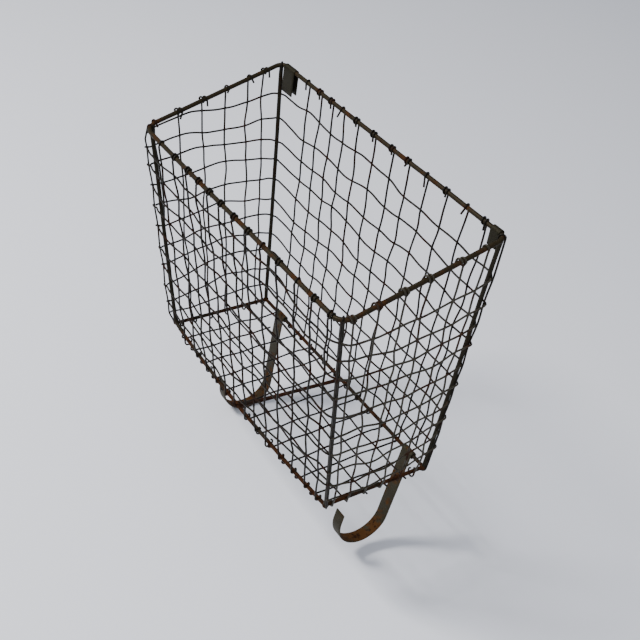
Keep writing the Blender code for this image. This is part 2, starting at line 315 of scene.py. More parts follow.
def wires(name, paths, radius, finish, bend, bend_scale, uneven, sides, seed, share=(1, 1, 1)):
    """Round wire along each path of (point, slack) pairs. A path given as a tuple is closed."""
    spots, edges, slacks = [], [], []
    for path in paths:
        first = len(spots)
        for point, slack in path:
            spots.append(point)
            slacks.append(slack)
        edges += [(at, at + 1) for at in range(first, len(spots) - 1)]
        if isinstance(path, tuple):
            edges.append((len(spots) - 1, first))
    data = bpy.data.meshes.new(name + "_paths")
    data.from_pydata([tuple(spot) for spot in spots], edges, [])
    held = data.attributes.new("slack", "FLOAT", "POINT")
    for at, slack in enumerate(slacks):
        held.data[at].value = slack
    worker = bpy.data.objects.new(name + "_paths", data)
    bpy.context.scene.collection.objects.link(worker)
    return run_through_tree(
        name,
        worker,
        drawn_wire,
        {
            "Wire Radius": radius,
            "Sides": sides,
            "Bend Amount": bend,
            "Bend Share": tuple(float(part) for part in share),
            "Bend Scale": bend_scale,
            "Unevenness": uneven,
            "Seed": float(seed),
            "Finish": finish,
        },
    )


def bend_at(corner, before, after, radius, steps):
    """Points of the bend that a wire takes at a corner."""
    to_before = (before - corner).normalized()
    to_after = (after - corner).normalized()
    half = to_before.angle(to_after) / 2
    centre = corner + (to_before + to_after).normalized() * radius / math.sin(half)
    start = corner + to_before * radius / math.tan(half) - centre
    end = corner + to_after * radius / math.tan(half) - centre
    sweep = start.angle(end)
    points = []
    for step in range(steps + 1):
        share = step / steps
        arm = start * math.sin((1 - share) * sweep) + end * math.sin(share * sweep)
        points.append(centre + arm / math.sin(sweep))
    return points


def along(start, end, pitch=0.006):
    """Points from start to end, without end, a pitch apart."""
    count = max(1, round((end - start).length / pitch))
    return [start.lerp(end, step / count) for step in range(count)]


rim_corners = [
    Vector((-BACK_LENGTH / 2, 0, 0)),
    Vector((BACK_LENGTH / 2, 0, 0)),
    Vector((FRONT_LENGTH / 2, -RIM_DEPTH, -FRONT_DROP)),
    Vector((-FRONT_LENGTH / 2, -RIM_DEPTH, -FRONT_DROP)),
]
rim_bends = [REAR_BEND, REAR_BEND, FRONT_BEND, FRONT_BEND]
rim_turns = []
for index in range(4):
    before, after = rim_corners[index - 1], rim_corners[(index + 1) % 4]
    rim_turns.append(bend_at(rim_corners[index], before, after, rim_bends[index], 10))
rim_path = []
for index in range(4):
    rim_path += rim_turns[index][:-1]
    rim_path += along(rim_turns[index][-1], rim_turns[(index + 1) % 4][0])
rim_steel = old_steel(
    "rim_steel",
    skin=(0.011, 0.008, 0.004),
    worn=(0.036, 0.027, 0.013),
    rust=(0.042, 0.018, 0.006),
    deep_rust=(0.015, 0.007, 0.003),
    coverage=0.54,
)
rim = wires(
    "rim",
    [tuple((point, 1.0) for point in rim_path)],
    RUSTED_RIM_R,
    rim_steel,
    bend=0.0012,
    bend_scale=12,
    uneven=0.16,
    sides=16,
    seed=3,
)
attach(rim, "basket")
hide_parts("rim_wire")


# ---------------------------------------------------------------------------------------------
# Corner posts. Four straight lengths of the same wire, a little sprung, from the rim's bends
# down to the bottom. The front left one is the end of the front bottom rail, bent upwards; the
# others are butted on the rails and welded.

POST_R = 0.0019
RUSTED_POST_R = POST_R * 1.10
TOE_LENGTH = 0.016
TOE_BEND = 0.009
half_length = BOTTOM_LENGTH / 2
post_corners = ["back_left", "back_right", "front_right", "front_left"]
post_heads = [turn[5] for turn in rim_turns]
post_feet = [
    Vector((-half_length + POST_R, 0, -HEIGHT)),
    Vector((half_length - POST_R, 0, -HEIGHT)),
    Vector((half_length - POST_R, -BOTTOM_DEPTH, -HEIGHT)),
    Vector((-half_length + POST_R, -BOTTOM_DEPTH, -HEIGHT)),
]
post_steel = old_steel(
    "post_steel",
    skin=(0.009, 0.008, 0.004),
    worn=(0.028, 0.023, 0.014),
    rust=(0.025, 0.012, 0.005),
    deep_rust=(0.010, 0.005, 0.003),
    coverage=0.42,
)
for index, corner in enumerate(post_corners):
    head, foot = post_heads[index], post_feet[index]
    held_end = [foot]
    if corner == "front_left":
        toe = foot + Vector((TOE_LENGTH, 0, 0))
        held_end = bend_at(foot, head, toe, TOE_BEND, 8) + [toe]
    path = [(point, 1.0) for point in along(head, held_end[0], 0.009)]
    path[0] = (head, 0.0)
    path += [(point, 0.0) for point in held_end]
    post = wires(
        "post_" + corner,
        [path],
        RUSTED_POST_R,
        post_steel,
        bend=0.0030,
        bend_scale=6,
        uneven=0.14,
        sides=14,
        seed=11 + index,
    )
    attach(post, "basket")
    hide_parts("corner_post_" + corner)


# ---------------------------------------------------------------------------------------------
# Bottom rails and crossbar. Heavy wire again, rustier than the rim. The front rail is bowed down
# and outwards by its load, and the back one, which the hooks turn on, has stayed straight. The
# short rails and the crossbar are butted between them.

FRONT_SAG = Vector((0, -0.0028, -0.0036))
CROSSBAR_FRONT_X = -0.0057
CROSSBAR_BACK_X = 0.0054


def sag_at(x, y):
    """How far the bottom has moved from flat at this place."""
    share = max(0.0, 1 - (x / half_length) ** 2)
    ahead = min(1.0, max(0.0, -y / BOTTOM_DEPTH))
    return FRONT_SAG * ahead * share


def rail_path(start, end):
    points = along(start, end, 0.008) + [end]
    return [(point + sag_at(point.x, point.y), 1.0) for point in points]


rail_steel = old_steel(
    "rail_steel",
    skin=(0.010, 0.007, 0.004),
    worn=(0.030, 0.021, 0.012),
    rust=(0.038, 0.014, 0.005),
    deep_rust=(0.014, 0.006, 0.003),
    coverage=0.72,
)
crossbar_steel = old_steel(
    "crossbar_steel",
    skin=(0.011, 0.007, 0.005),
    worn=(0.030, 0.018, 0.011),
    rust=(0.036, 0.012, 0.006),
    deep_rust=(0.014, 0.006, 0.004),
    coverage=0.80,
)
inset = half_length - FRAME_R
rails = {
    "bottom_rail_front": ((-half_length + 0.012, -BOTTOM_DEPTH), (half_length, -BOTTOM_DEPTH)),
    "bottom_rail_back": ((-half_length, 0), (half_length, 0)),
    "bottom_rail_left": ((-inset, -0.0012), (-inset, -BOTTOM_DEPTH + 0.0012)),
    "bottom_rail_right": ((inset, -0.0012), (inset, -BOTTOM_DEPTH + 0.0012)),
    "bottom_crossbar": ((CROSSBAR_BACK_X, -0.001), (CROSSBAR_FRONT_X, -BOTTOM_DEPTH + 0.001)),
}
for number, (node, (start, end)) in enumerate(rails.items()):
    crossbar = node == "bottom_crossbar"
    # The hooks turn on the back rail, so it is nearly true.
    bend, uneven = (0.0002, 0.06) if node == "bottom_rail_back" else (0.0010, 0.18)
    rail = wires(
        node.replace("bottom_", "base_"),
        [rail_path(Vector((*start, -HEIGHT)), Vector((*end, -HEIGHT)))],
        FRAME_R,
        crossbar_steel if crossbar else rail_steel,
        bend=bend,
        bend_scale=14,
        uneven=uneven,
        sides=14,
        seed=21 + number,
    )
    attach(rail, "basket")
    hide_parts(node)


# ---------------------------------------------------------------------------------------------
# Welds. Each joint of the frame carries a small lumpy bead of weld metal, rusted like the wire
# beside it.

weld_spots = [(head, 0.0023) for head in post_heads]
weld_spots += [(foot, 0.0030) for foot in post_feet[:3]]
for x, y in rails["bottom_crossbar"]:
    weld_spots.append((Vector((x, y, -HEIGHT)) + sag_at(x, y), 0.0028))
weld_spots.append((Vector((-inset, -BOTTOM_DEPTH + 0.001, -HEIGHT)), 0.0026))


def weld_bead_tree():
    """Sets a lumpy bead of the point's own size on every point."""
    made = group_with(
        "weld_bead",
        "GeometryNodeTree",
        [
            ("Joints", "NodeSocketGeometry", None),
            ("Lump Amount", "NodeSocketFloat", 0.0012),
            ("Lump Scale", "NodeSocketFloat", 380.0),
            ("Finish", "NodeSocketMaterial", None),
        ],
        [("Beads", "NodeSocketGeometry")],
    )
    nodes, links = made.nodes, made.links
    inlet = nodes.new("NodeGroupInput")
    outlet = nodes.new("NodeGroupOutput")
    ball = nodes.new("GeometryNodeMeshIcoSphere")
    ball.inputs["Subdivisions"].default_value = 4
    ball.inputs["Radius"].default_value = 1
    size = nodes.new("GeometryNodeInputNamedAttribute")
    size.data_type = "FLOAT"
    size.inputs["Name"].default_value = "bead"
    put = nodes.new("GeometryNodeInstanceOnPoints")
    links.new(inlet.outputs["Joints"], put.inputs["Points"])
    links.new(ball.outputs["Mesh"], put.inputs["Instance"])
    links.new(size.outputs["Attribute"], put.inputs["Scale"])
    real = nodes.new("GeometryNodeRealizeInstances")
    links.new(put.outputs[0], real.inputs["Geometry"])
    place = nodes.new("GeometryNodeInputPosition")
    lump = nodes.new("ShaderNodeTexNoise")
    links.new(place.outputs[0], lump.inputs["Vector"])
    links.new(inlet.outputs["Lump Scale"], lump.inputs["Scale"])
    centred = nodes.new("ShaderNodeVectorMath")
    centred.operation = "SUBTRACT"
    centred.inputs[1].default_value = (0.5, 0.5, 0.5)
    links.new(lump.outputs["Color"], centred.inputs[0])
    push = nodes.new("ShaderNodeVectorMath")
    push.operation = "SCALE"
    links.new(centred.outputs[0], push.inputs[0])
    links.new(inlet.outputs["Lump Amount"], push.inputs["Scale"])
    lumpy = nodes.new("GeometryNodeSetPosition")
    links.new(real.outputs[0], lumpy.inputs["Geometry"])
    links.new(push.outputs[0], lumpy.inputs["Offset"])
    smooth = nodes.new("GeometryNodeSetShadeSmooth")
    links.new(lumpy.outputs[0], smooth.inputs["Geometry"])
    finish = nodes.new("GeometryNodeSetMaterial")
    links.new(smooth.outputs[0], finish.inputs["Geometry"])
    links.new(inlet.outputs["Finish"], finish.inputs["Material"])
    links.new(finish.outputs[0], outlet.inputs["Beads"])
    return made


weld_data = bpy.data.meshes.new("weld_joints")
weld_data.from_pydata([tuple(spot) for spot, _ in weld_spots], [], [])
weld_size = weld_data.attributes.new("bead", "FLOAT", "POINT")
for at, (_, size) in enumerate(weld_spots):
    weld_size.data[at].value = size
weld_worker = bpy.data.objects.new("weld_joints", weld_data)
bpy.context.scene.collection.objects.link(weld_worker)
weld_beads = run_through_tree("weld_beads", weld_worker, weld_bead_tree(), {"Finish": rail_steel})
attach(weld_beads, "basket")


# ---------------------------------------------------------------------------------------------
# Woven mesh of the four sides. Upright steel wires are hooked over the rim with their tails left
# inside, and end round the bottom rail. One long level wire winds round them in a slow spiral,
# over one and under the next and outside the posts. Old handling has pulled it all out of line.

MESH_R = 0.00094
MESH_OUT = 0.0032
CRIMP = 0.00070
PULL = 0.023
PULL_SCALE = 15
# How far the weave stands off the back left, back right, front right and front left posts.
CORNER_OUT = [0.0038, 0.0034, 0.0042, 0.0066]
# The wire bites into the rim and the rails by this much where it goes round them.
BITE = 0.0001
TAIL_SHORTEST = 0.003
TAIL_LONGEST = 0.009
LOOP_LOOSENESS = (0.0000, 0.0001, 0.0003, 0.0012)
# The level wires leave a corner over this length, and their points lie this far apart.
CORNER_REACH = 0.007
LEVEL_PITCH = 0.0040

mesh_steel = old_steel(
    "mesh_steel",
    skin=(0.005, 0.004, 0.003),
    worn=(0.024, 0.020, 0.014),
    rust=(0.022, 0.009, 0.005),
    deep_rust=(0.008, 0.004, 0.002),
    coverage=0.50,
    shine=0.40,
)
# A lighter copy of the mesh steel, used only on the right side. Its lighter skin and much lighter
# specks are painted light and painted highlights for the side the light falls on. Its rust tones
# are ordinary rust.
painted_light_mesh_steel = old_steel(
    "painted_light_mesh_steel",
    skin=(0.014, 0.012, 0.009),
    worn=(0.076, 0.068, 0.050),
    rust=(0.030, 0.013, 0.007),
    deep_rust=(0.013, 0.006, 0.004),
    coverage=0.50,
    shine=0.40,
)
foot_corners = [
    Vector((-half_length, 0, -HEIGHT)),
    Vector((half_length, 0, -HEIGHT)),
    Vector((half_length, -BOTTOM_DEPTH, -HEIGHT)),
    Vector((-half_length, -BOTTOM_DEPTH, -HEIGHT)),
]
# Each side runs clockwise seen from above, from its first corner to the next. An upright wire
# has a share of the side at the rim and another at the bottom.
side_order = ["back", "right", "front", "left"]
upright_heads = {
    "back": [0.139, 0.202, 0.260, 0.315, 0.383, 0.463, 0.546, 0.615, 0.694, 0.774, 0.854, 0.922],
    "right": [0.124, 0.275, 0.473, 0.621, 0.782, 0.937],
    "front": [
        *(0.040, 0.111, 0.187, 0.274, 0.352, 0.420, 0.494),
        *(0.562, 0.624, 0.681, 0.740, 0.816, 0.898),
    ],
    "left": [0.072, 0.249, 0.427, 0.599, 0.762, 0.874],
}
upright_feet = {
    "back": [0.110, 0.185, 0.262, 0.335, 0.415, 0.487, 0.556, 0.622, 0.692, 0.770, 0.845, 0.925],
    "right": [0.130, 0.285, 0.465, 0.630, 0.800, 0.945],
    "front": [
        *(0.045, 0.105, 0.178, 0.250, 0.325, 0.395, 0.460),
        *(0.528, 0.592, 0.660, 0.728, 0.806, 0.889),
    ],
    "left": [0.035, 0.200, 0.375, 0.550, 0.740, 0.888],
}
# Depth of the level wire below the back rim, in millimetres, at each corner and at the middle
# of each side, one turn to a line: back left, back, back right, right, front right, front,
# front left, left. It starts on the left side and ends on the right side.
spiral = [
    [53, 41],
    [32, 34, 42, 60, 66, 62, 68, 63],
    [61, 60, 70, 88, 84, 86, 87, 80],
    [86, 87, 94, 110, 108, 107, 110, 103],
    [107, 111, 117, 130, 130, 131, 132, 130],
    [129, 135, 141, 156, 156, 157, 157, 149],
    [155, 155, 165, 182, 181, 186, 183, 174],
    [174, 177, 188, 207, 206, 211, 206, 194],
    [199, 203, 208, 230, 228, 240, 232, 217],
    [219, 224, 228, 252, 248, 264, 254, 242],
    [244, 243, 248, 269, 267],
]
# A second, short wire closes the weave low down, over the left side and the back.
last_round = [268, 266, 264, 264, 268]
LEFT = side_order.index("left")
FRONT_LEFT = post_corners.index("front_left")
# The stretches of the back rail that the hooks' eyes take up.
hook_gaps = [(-0.1270, -0.1050), (0.1170, 0.1375)]


def smooth_height(heights, at):
    """The wire's height, in metres, between the stations of a list of depths in millimetres."""
    index = min(int(at), len(heights) - 2)
    share = at - index
    p1, p2 = heights[index], heights[index + 1]
    p0 = heights[index - 1] if index > 0 else p1
    p3 = heights[index + 2] if index + 2 < len(heights) else p2
    curve = 2 * p1 + (p2 - p0) * share
    curve += (2 * p0 - 5 * p1 + 4 * p2 - p3) * share**2
    curve += (3 * p1 - p0 - 3 * p2 + p3) * share**3
    # The curve so far is twice the depth, in millimetres.
    return -curve / 2000


def level_runs():
    """For each side, the level wires' stretches: the list of depths and its first station."""
    whole = [depth for turn in spiral for depth in turn]
    runs = [[], [], [], []]
    for heights in (whole, last_round):
        for station in range(0, len(heights) - 2, 2):
            runs[(LEFT + station // 2) % 4].append((heights, station))
    for side in range(4):
        runs[side].sort(key=lambda run: run[0][run[1] + 1])
    return runs


def level_height(run, share):
    heights, station = run
    return smooth_height(heights, station + 2 * share)


def corner_radius(corner, z):
    """How open the corner is at this height: the rim's bend above, nearly square below."""
    share = min(1.0, max(0.0, -z / HEIGHT))
    return rim_bends[corner] + (FOOT_BEND - rim_bends[corner]) * share


def edge_ends(side, z):
    """The two square corners of a side at this height."""
    ends = []
    for corner in (side, (side + 1) % 4):
        head, foot = rim_corners[corner], foot_corners[corner]
        ends.append(head + (foot - head) * (z - head.z) / (foot.z - head.z))
    return ends


def side_length(side, z):
    start, end = edge_ends(side, z)
    return (end - start).xy.length


def on_side(side, run, z, out):
    """A point outside the frame on a side: run metres from its first corner, at this height."""
    start, end = edge_ends(side, z)
    flat = Vector((end.x - start.x, end.y - start.y, 0))
    length = flat.length
    way = flat.normalized()
    outward = Vector((-way.y, way.x, 0))
    inward = -out
    for corner, distance in ((side, run), ((side + 1) % 4, length - run)):
        radius = corner_radius(corner, z)
        if distance < radius:
            reach = (radius + out) ** 2 - (radius - distance) ** 2
            inward = radius - math.sqrt(max(reach, 0))
    return start + way * run - outward * inward


def outward_of(side):
    start, end = foot_corners[side], foot_corners[(side + 1) % 4]
    way = (end - start).normalized()
    return Vector((-way.y, way.x, 0))


def rim_height(side, share):
    """The height of the rim wire over this place on a side."""
    start, end = rim_corners[side], rim_corners[(side + 1) % 4]
    return start.z + (end.z - start.z) * share


def eased(share):
    return (1 - math.cos(math.pi * share)) / 2


def sagged(point):
    """The point moved with the sagging bottom, the more so the lower it is."""
    low = min(1.0, max(0.0, (-point.z - 0.10) / (HEIGHT - 0.10)))
    return point + sag_at(point.x, point.y) * low


def upright_run(side, column, z):
    """How far along its side an upright wire is at this height."""
    head = upright_heads[side_order[side]][column]
    foot = upright_feet[side_order[side]][column]
    low = min(1.0, max(0.0, -z / HEIGHT))
    return side_length(side, z) * (head + (foot - head) * low)


def upright_crossings(side, column, runs):
    """The heights at which an upright wire crosses the level wires, from the top."""
    head = upright_heads[side_order[side]][column]
    foot = upright_feet[side_order[side]][column]
    crossings = []
    for number, run in enumerate(runs):
        low = -level_height(run, head) / HEIGHT
        z = level_height(run, head + (foot - head) * low)
        if z < rim_height(side, head) - 0.004:
            crossings.append((number, z))
    return crossings


def upright_path(side, column, crossings, luck):
    """One upright wire: tail, hook over the rim, weave down the side, loop round the rail."""
    outward = outward_of(side)
    way = Vector((outward.y, -outward.x, 0))
    head_share = upright_heads[side_order[side]][column]
    top_z = rim_height(side, head_share)
    rim_here = on_side(side, upright_run(side, column, top_z), top_z, 0)
    grip = FRAME_R + MESH_R - BITE
    tail = luck.uniform(TAIL_SHORTEST, TAIL_LONGEST)
    lean = luck.uniform(-0.0030, 0.0030)
    half_turns = luck.choice((1, 3, 3))
    steps = 12 * half_turns
    # Half the length that the turns take up along the rim, with each lying close by the last.
    spread = MESH_R * 1.05 * half_turns
    path = []
    for step in range(4, 0, -1):
        inside = -outward * (grip + 0.0010 * step / 4)
        down = Vector((0, 0, -tail * step / 4))
        aside = way * (lean * step / 4 + spread)
        path.append((rim_here + inside + aside + down, 0.0))
    for step in range(steps + 1):
        angle = math.pi * (1 - step / 12)
        arm = outward * math.cos(angle) * grip + Vector((0, 0, 1)) * math.sin(angle) * grip
        path.append((rim_here + arm + way * spread * (1 - 2 * step / steps), 0.0))
    stops = [(top_z - 0.003, MESH_OUT, 0.0)]
    for number, z in crossings:
        sign = 1 if (number + column) % 2 else -1
        stops.append((z, MESH_OUT + sign * CRIMP, 1.0))
    loose = luck.choice(LOOP_LOOSENESS)
    # The short rails are butted between the long ones, so they lie further in.
    rail_out = -FRAME_R if side_order[side] in ("left", "right") else 0.0
    stops.append((-HEIGHT, rail_out + grip + loose, 0.0))
    for (z0, out0, slack0), (z1, out1, slack1) in zip(stops, stops[1:]):
        for step in range(6):
            share = step / 6
            z = z0 + (z1 - z0) * share
            out = out0 + (out1 - out0) * eased(share)
            point = on_side(side, upright_run(side, column, z), z, out)
            path.append((sagged(point), slack0 + (slack1 - slack0) * share))
    foot = sagged(on_side(side, upright_run(side, column, -HEIGHT), -HEIGHT, rail_out))
    if side_order[side] == "back" and any(low < foot.x < high for low, high in hook_gaps):
        # Behind a hook the upright stops at the last level wire.
        lowest = crossings[-1][1] - 0.004
        return [entry for entry in path if entry[0].z > lowest]
    loop = grip + loose
    twist = luck.uniform(-0.0012, 0.0012)
    for step in range(13):
        angle = math.pi * 1.35 * step / 12
        arm = outward * math.cos(angle) * loop - Vector((0, 0, 1)) * math.sin(angle) * loop
        droop = Vector((0, 0, -loose * math.sin(min(angle, math.pi))))
        path.append((foot + arm + droop + way * twist * step / 12, 0.0))
    return path


def level_path(side, number, run, columns):
    """One level wire on one side, from the middle of one corner to the middle of the next."""
    stops = []
    for corner, end in ((side, 0), ((side + 1) % 4, 1)):
        z = level_height(run, end)
        radius = corner_radius(corner, z)
        out = CORNER_OUT[corner] + (0.0016 if number % 2 else -0.0014)
        edge = radius - (radius + out) * math.cos(math.pi / 4)
        near_out = MESH_OUT
        if corner == FRONT_LEFT and z > -FRONT_DROP - 0.006:
            # Just below this bend of the rim the wire lies close against the post.
            out = near_out = 0.0020
        stops.append([(edge, out, 0.3), (edge + CORNER_REACH, near_out, 0.6)])
    length = side_length(side, level_height(run, 0.5))
    crossings = []
    for column in range(columns):
        share = upright_run(side, column, level_height(run, 0.5)) / length
        sign = -1 if (number + column) % 2 else 1
        if stops[0][1][0] + 0.003 < share * length < length - stops[1][1][0] - 0.003:
            crossings.append((share * length, MESH_OUT + sign * CRIMP, 1.0))
    ends = [(length - edge, out, slack) for edge, out, slack in reversed(stops[1])]
    all_stops = stops[0] + crossings + ends

    def placed(at, out, slack):
        z = level_height(run, at / length)
        scale = side_length(side, z) / length
        return sagged(on_side(side, at * scale, z, out)), slack

    path = []
    for (run0, out0, slack0), (run1, out1, slack1) in zip(all_stops, all_stops[1:]):
        steps = max(4, round((run1 - run0) / LEVEL_PITCH))
        for step in range(steps):
            share = step / steps
            at = run0 + (run1 - run0) * share
            out = out0 + (out1 - out0) * eased(share)
            path.append(placed(at, out, slack0 + (slack1 - slack0) * share))
    path.append(placed(*all_stops[-1]))
    return path


side_runs = level_runs()
for side, side_name in enumerate(side_order):
    luck = random.Random(40 + side)
    columns = len(upright_heads[side_name])
    paths = []
    for column in range(columns):
        crossings = upright_crossings(side, column, side_runs[side])
        paths.append(upright_path(side, column, crossings, luck))
    for number, run in enumerate(side_runs[side]):
        paths.append(level_path(side, number, run, columns))
    # The weave has been pulled up and down most, less along its side and hardly in or out.
    faces_front = side_name in ("back", "front")
    # The right side takes the lighter copy of the mesh steel, which is painted light and painted
    # highlights, not a different wire.
    panel = wires(
        side_name + "_weave",
        paths,
        MESH_R,
        painted_light_mesh_steel if side_name == "right" else mesh_steel,
        bend=PULL,
        bend_scale=PULL_SCALE,
        uneven=0.22,
        sides=8,
        seed=5,
        share=(0.5, 0.06, 1) if faces_front else (0.06, 0.5, 1),
    )
    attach(panel, "basket")
    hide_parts(side_name + "_mesh")


# ---------------------------------------------------------------------------------------------
# Corner mesh wires. One upright wire of the weave stands off each post, and the level wires
# pass over and under it by turns. It is hooked over the rim's bend and tucked under the bottom.

for index, corner in enumerate(post_corners):
    head = post_heads[index]
    sideways = math.copysign(1, head.x)
    backward = math.copysign(1, head.y + RIM_DEPTH / 2)
    diagonal = Vector((sideways, backward, 0)).normalized()
    grip = FRAME_R + MESH_R
    path = [(head - diagonal * grip + Vector((0, 0, -0.006)), 0.0)]
    for step in range(9):
        angle = math.pi * (1 - step / 8)
        arm = diagonal * math.cos(angle) * grip + Vector((0, 0, 1)) * math.sin(angle) * grip
        path.append((head + arm, 0.0))
    drop = 0.014
    stops = [(head.z - drop, CORNER_OUT[index])]
    for number, run in enumerate(side_runs[index]):
        z = level_height(run, 0)
        if z < head.z - drop - 0.004:
            stops.append((z, CORNER_OUT[index] + (-0.0004 if number % 2 else 0.0004)))
    stops.append((-HEIGHT, grip))
    for (z0, out0), (z1, out1) in zip(stops, stops[1:]):
        for step in range(5):
            share = step / 5
            z = z0 + (z1 - z0) * share
            radius = corner_radius(index, z)
            top, low = rim_corners[index], foot_corners[index]
            square = top + (low - top) * (z - top.z) / (low.z - top.z)
            out = out0 + (out1 - out0) * eased(share)
            reach = (radius + out) - radius * math.sqrt(2)
            path.append((square + diagonal * reach, 0.3))
    foot = foot_corners[index] - diagonal * FOOT_BEND * 0.41
    for step in range(7):
        angle = math.pi * 0.5 * step / 6
        arm = diagonal * math.cos(angle) * grip - Vector((0, 0, 1)) * math.sin(angle) * grip
        path.append((foot + arm, 0.0))
    path.append((foot - diagonal * 0.009 - Vector((0, 0, grip)), 0.0))
    corner_wire = wires(
        "corner_weave_" + corner,
        [path],
        MESH_R,
        mesh_steel,
        bend=PULL,
        bend_scale=PULL_SCALE,
        uneven=0.22,
        sides=8,
        seed=5,
        share=(0.4, 0.4, 1),
    )
    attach(corner_wire, "basket")
    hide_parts("corner_wire_" + corner)


# ---------------------------------------------------------------------------------------------
# Bottom mesh. Long wires and cross wires of the same stock, woven under the rails. The cross
# wires turn up round the long rails at their ends, and those beside a hook stop short of it.

LONG_WIRES = 4
CROSS_WIRES = 12
floor_luck = random.Random(77)
cross_x = []
for number in range(CROSS_WIRES):
    even = -half_length + BOTTOM_LENGTH * (number + 1) / (CROSS_WIRES + 1)
    cross_x.append(even + floor_luck.uniform(-0.002, 0.002))
long_y = [-BOTTOM_DEPTH * (number + 1) / (LONG_WIRES + 1) for number in range(LONG_WIRES)]
below = FRAME_R + MESH_R + 0.0002


def floor_point(x, y, drop):
    return Vector((x, y, -HEIGHT - drop)) + sag_at(x, y)


floor_paths = []
for row, y in enumerate(long_y):
    stops = [(-half_length - 0.001, 0.0)]
    stops += [(x, CRIMP if (row + at) % 2 else -CRIMP) for at, x in enumerate(cross_x)]
    stops.append((half_length + 0.001, 0.0))
    path = []
    for (x0, lift0), (x1, lift1) in zip(stops, stops[1:]):
        for step in range(6):
            share = step / 6
            x = x0 + (x1 - x0) * share
            slack = 1.0 if 0.01 < (x + half_length) < BOTTOM_LENGTH - 0.01 else 0.2
            drop = below + CRIMP + lift0 + (lift1 - lift0) * eased(share)
            path.append((floor_point(x, y, drop), slack))
    path.append((floor_point(half_length + 0.001, y, below), 0.2))
    floor_paths.append(path)
for at, x in enumerate(cross_x):
    near_hook = any(low < x < high for low, high in hook_gaps)
    path = []
    for step in range(7):
        angle = math.pi * 0.5 * (step / 6 - 0.2)
        arm = Vector((0, -math.cos(angle), -math.sin(angle))) * below
        path.append((Vector((x, -BOTTOM_DEPTH, -HEIGHT)) + sag_at(x, -BOTTOM_DEPTH) + arm, 0.0))
    stops = [(-BOTTOM_DEPTH + 0.002, 0.0)]
    for row in range(LONG_WIRES - 1, -1, -1):
        stops.append((long_y[row], -CRIMP if (row + at) % 2 else CRIMP))
    if not near_hook:
        stops.append((-0.001, 0.0))
    for (y0, lift0), (y1, lift1) in zip(stops, stops[1:]):
        for step in range(6):
            share = step / 6
            y = y0 + (y1 - y0) * share
            slack = 1.0 if 0.01 < -y < BOTTOM_DEPTH - 0.01 else 0.2
            drop = below + CRIMP + lift0 + (lift1 - lift0) * eased(share)
            path.append((floor_point(x, y, drop), slack))
    if near_hook:
        path.append((floor_point(x, stops[-1][0] + 0.003, below), 1.0))
    else:
        for step in range(7):
            angle = math.pi * 0.5 * (1 - step / 6 * 1.2)
            arm = Vector((0, math.cos(angle), -math.sin(angle))) * below
            path.append((Vector((x, 0, -HEIGHT)) + sag_at(x, 0) + arm, 0.0))
    floor_paths.append(path)
floor_weave = wires(
    "bottom_weave",
    floor_paths,
    MESH_R,
    mesh_steel,
    bend=0.004,
    bend_scale=16,
    uneven=0.22,
    sides=8,
    seed=9,
)
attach(floor_weave, "basket")
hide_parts("bottom_mesh")


# ---------------------------------------------------------------------------------------------
# Rim tabs. Two short flat straps folded over the back rim wire at its ends, with the long leaf
# hanging inside the basket. Cut square, edges rounded by wear, dull olive grey.

TAB_THICK = 0.0012
tabs = {
    "left": {"x": -0.1575, "width": 0.019, "inner": 0.0250, "outer": 0.0240},
    "right": {"x": 0.1635, "width": 0.011, "inner": 0.0145, "outer": 0.0130},
}


def strap_steel(name, skin, worn, rust, deep_rust, coverage, inner_coverage):
    """Old flat strap: as the wire, with more rust on the face marked as inner."""
    made = old_steel(name, skin, worn, rust, deep_rust, coverage, 55, 0.55, 0.35)
    nodes, links = made.node_tree.nodes, made.node_tree.links
    inner = nodes.new("ShaderNodeAttribute")
    inner.attribute_name = "inner_face"
    amount = nodes.new("ShaderNodeMapRange")
    amount.inputs["To Min"].default_value = coverage
    amount.inputs["To Max"].default_value = inner_coverage
    links.new(inner.outputs["Fac"], amount.inputs["Value"])
    links.new(amount.outputs["Result"], nodes["bloom"].inputs["Coverage"])
    return made


def strap(name, path, centre_x, widths, thickness, finish, rusting):
    """Flat strap along a path of (y, z) points, with rounded edges.

    rusting says how rusty the face on the right of the path's way is, at even steps along it.
    """
    shape = bmesh.new()
    inner = shape.verts.layers.float.new("inner_face")
    cuts = 6
    rings = []
    for number, (y, z) in enumerate(path):
        before = Vector(path[max(0, number - 1)])
        after = Vector(path[min(len(path) - 1, number + 1)])
        way = (after - before).normalized()
        side = Vector((0, way.y, -way.x))
        share = number / (len(path) - 1)
        half = (widths[0] + (widths[1] - widths[0]) * share) / 2
        edge = thickness / 2
        step = min(int(share * (len(rusting) - 1)), len(rusting) - 2)
        past = share * (len(rusting) - 1) - step
        rusty = rusting[step] + (rusting[step + 1] - rusting[step]) * past
        ring = []
        profile = []
        for cut in range(cuts + 1):
            profile.append((-half + edge + (2 * half - 2 * edge) * cut / cuts, edge, rusty))
        for angle in (45, 0, -45):
            bend = math.radians(angle)
            across = half - edge + edge * math.cos(bend)
            profile.append((across, edge * math.sin(bend), rusty / 2))
        for cut in range(cuts, -1, -1):
            profile.append((-half + edge + (2 * half - 2 * edge) * cut / cuts, -edge, 0.0))
        for angle in (225, 180, 135):
            bend = math.radians(angle)
            across = -half + edge + edge * math.cos(bend)
            profile.append((across, edge * math.sin(bend), rusty / 2))
        for across, up, mark in profile:
            vert = shape.verts.new(Vector((centre_x + across, y, z)) + side * up)
            vert[inner] = mark
            ring.append(vert)
        rings.append(ring)
    count = len(rings[0])
    for low, high in zip(rings, rings[1:]):
        for at in range(count):
            nxt = (at + 1) % count
            shape.faces.new((low[at], low[nxt], high[nxt], high[at]))
    shape.faces.new(list(reversed(rings[0])))
    shape.faces.new(rings[-1])
    bmesh.ops.recalc_face_normals(shape, faces=shape.faces)
    data = bpy.data.meshes.new(name)
    shape.to_mesh(data)
    shape.free()
    data.materials.append(finish)
    for face in data.polygons:
        face.use_smooth = len(face.vertices) == 4
    piece = bpy.data.objects.new(name, data)
    bpy.context.scene.collection.objects.link(piece)
    return piece


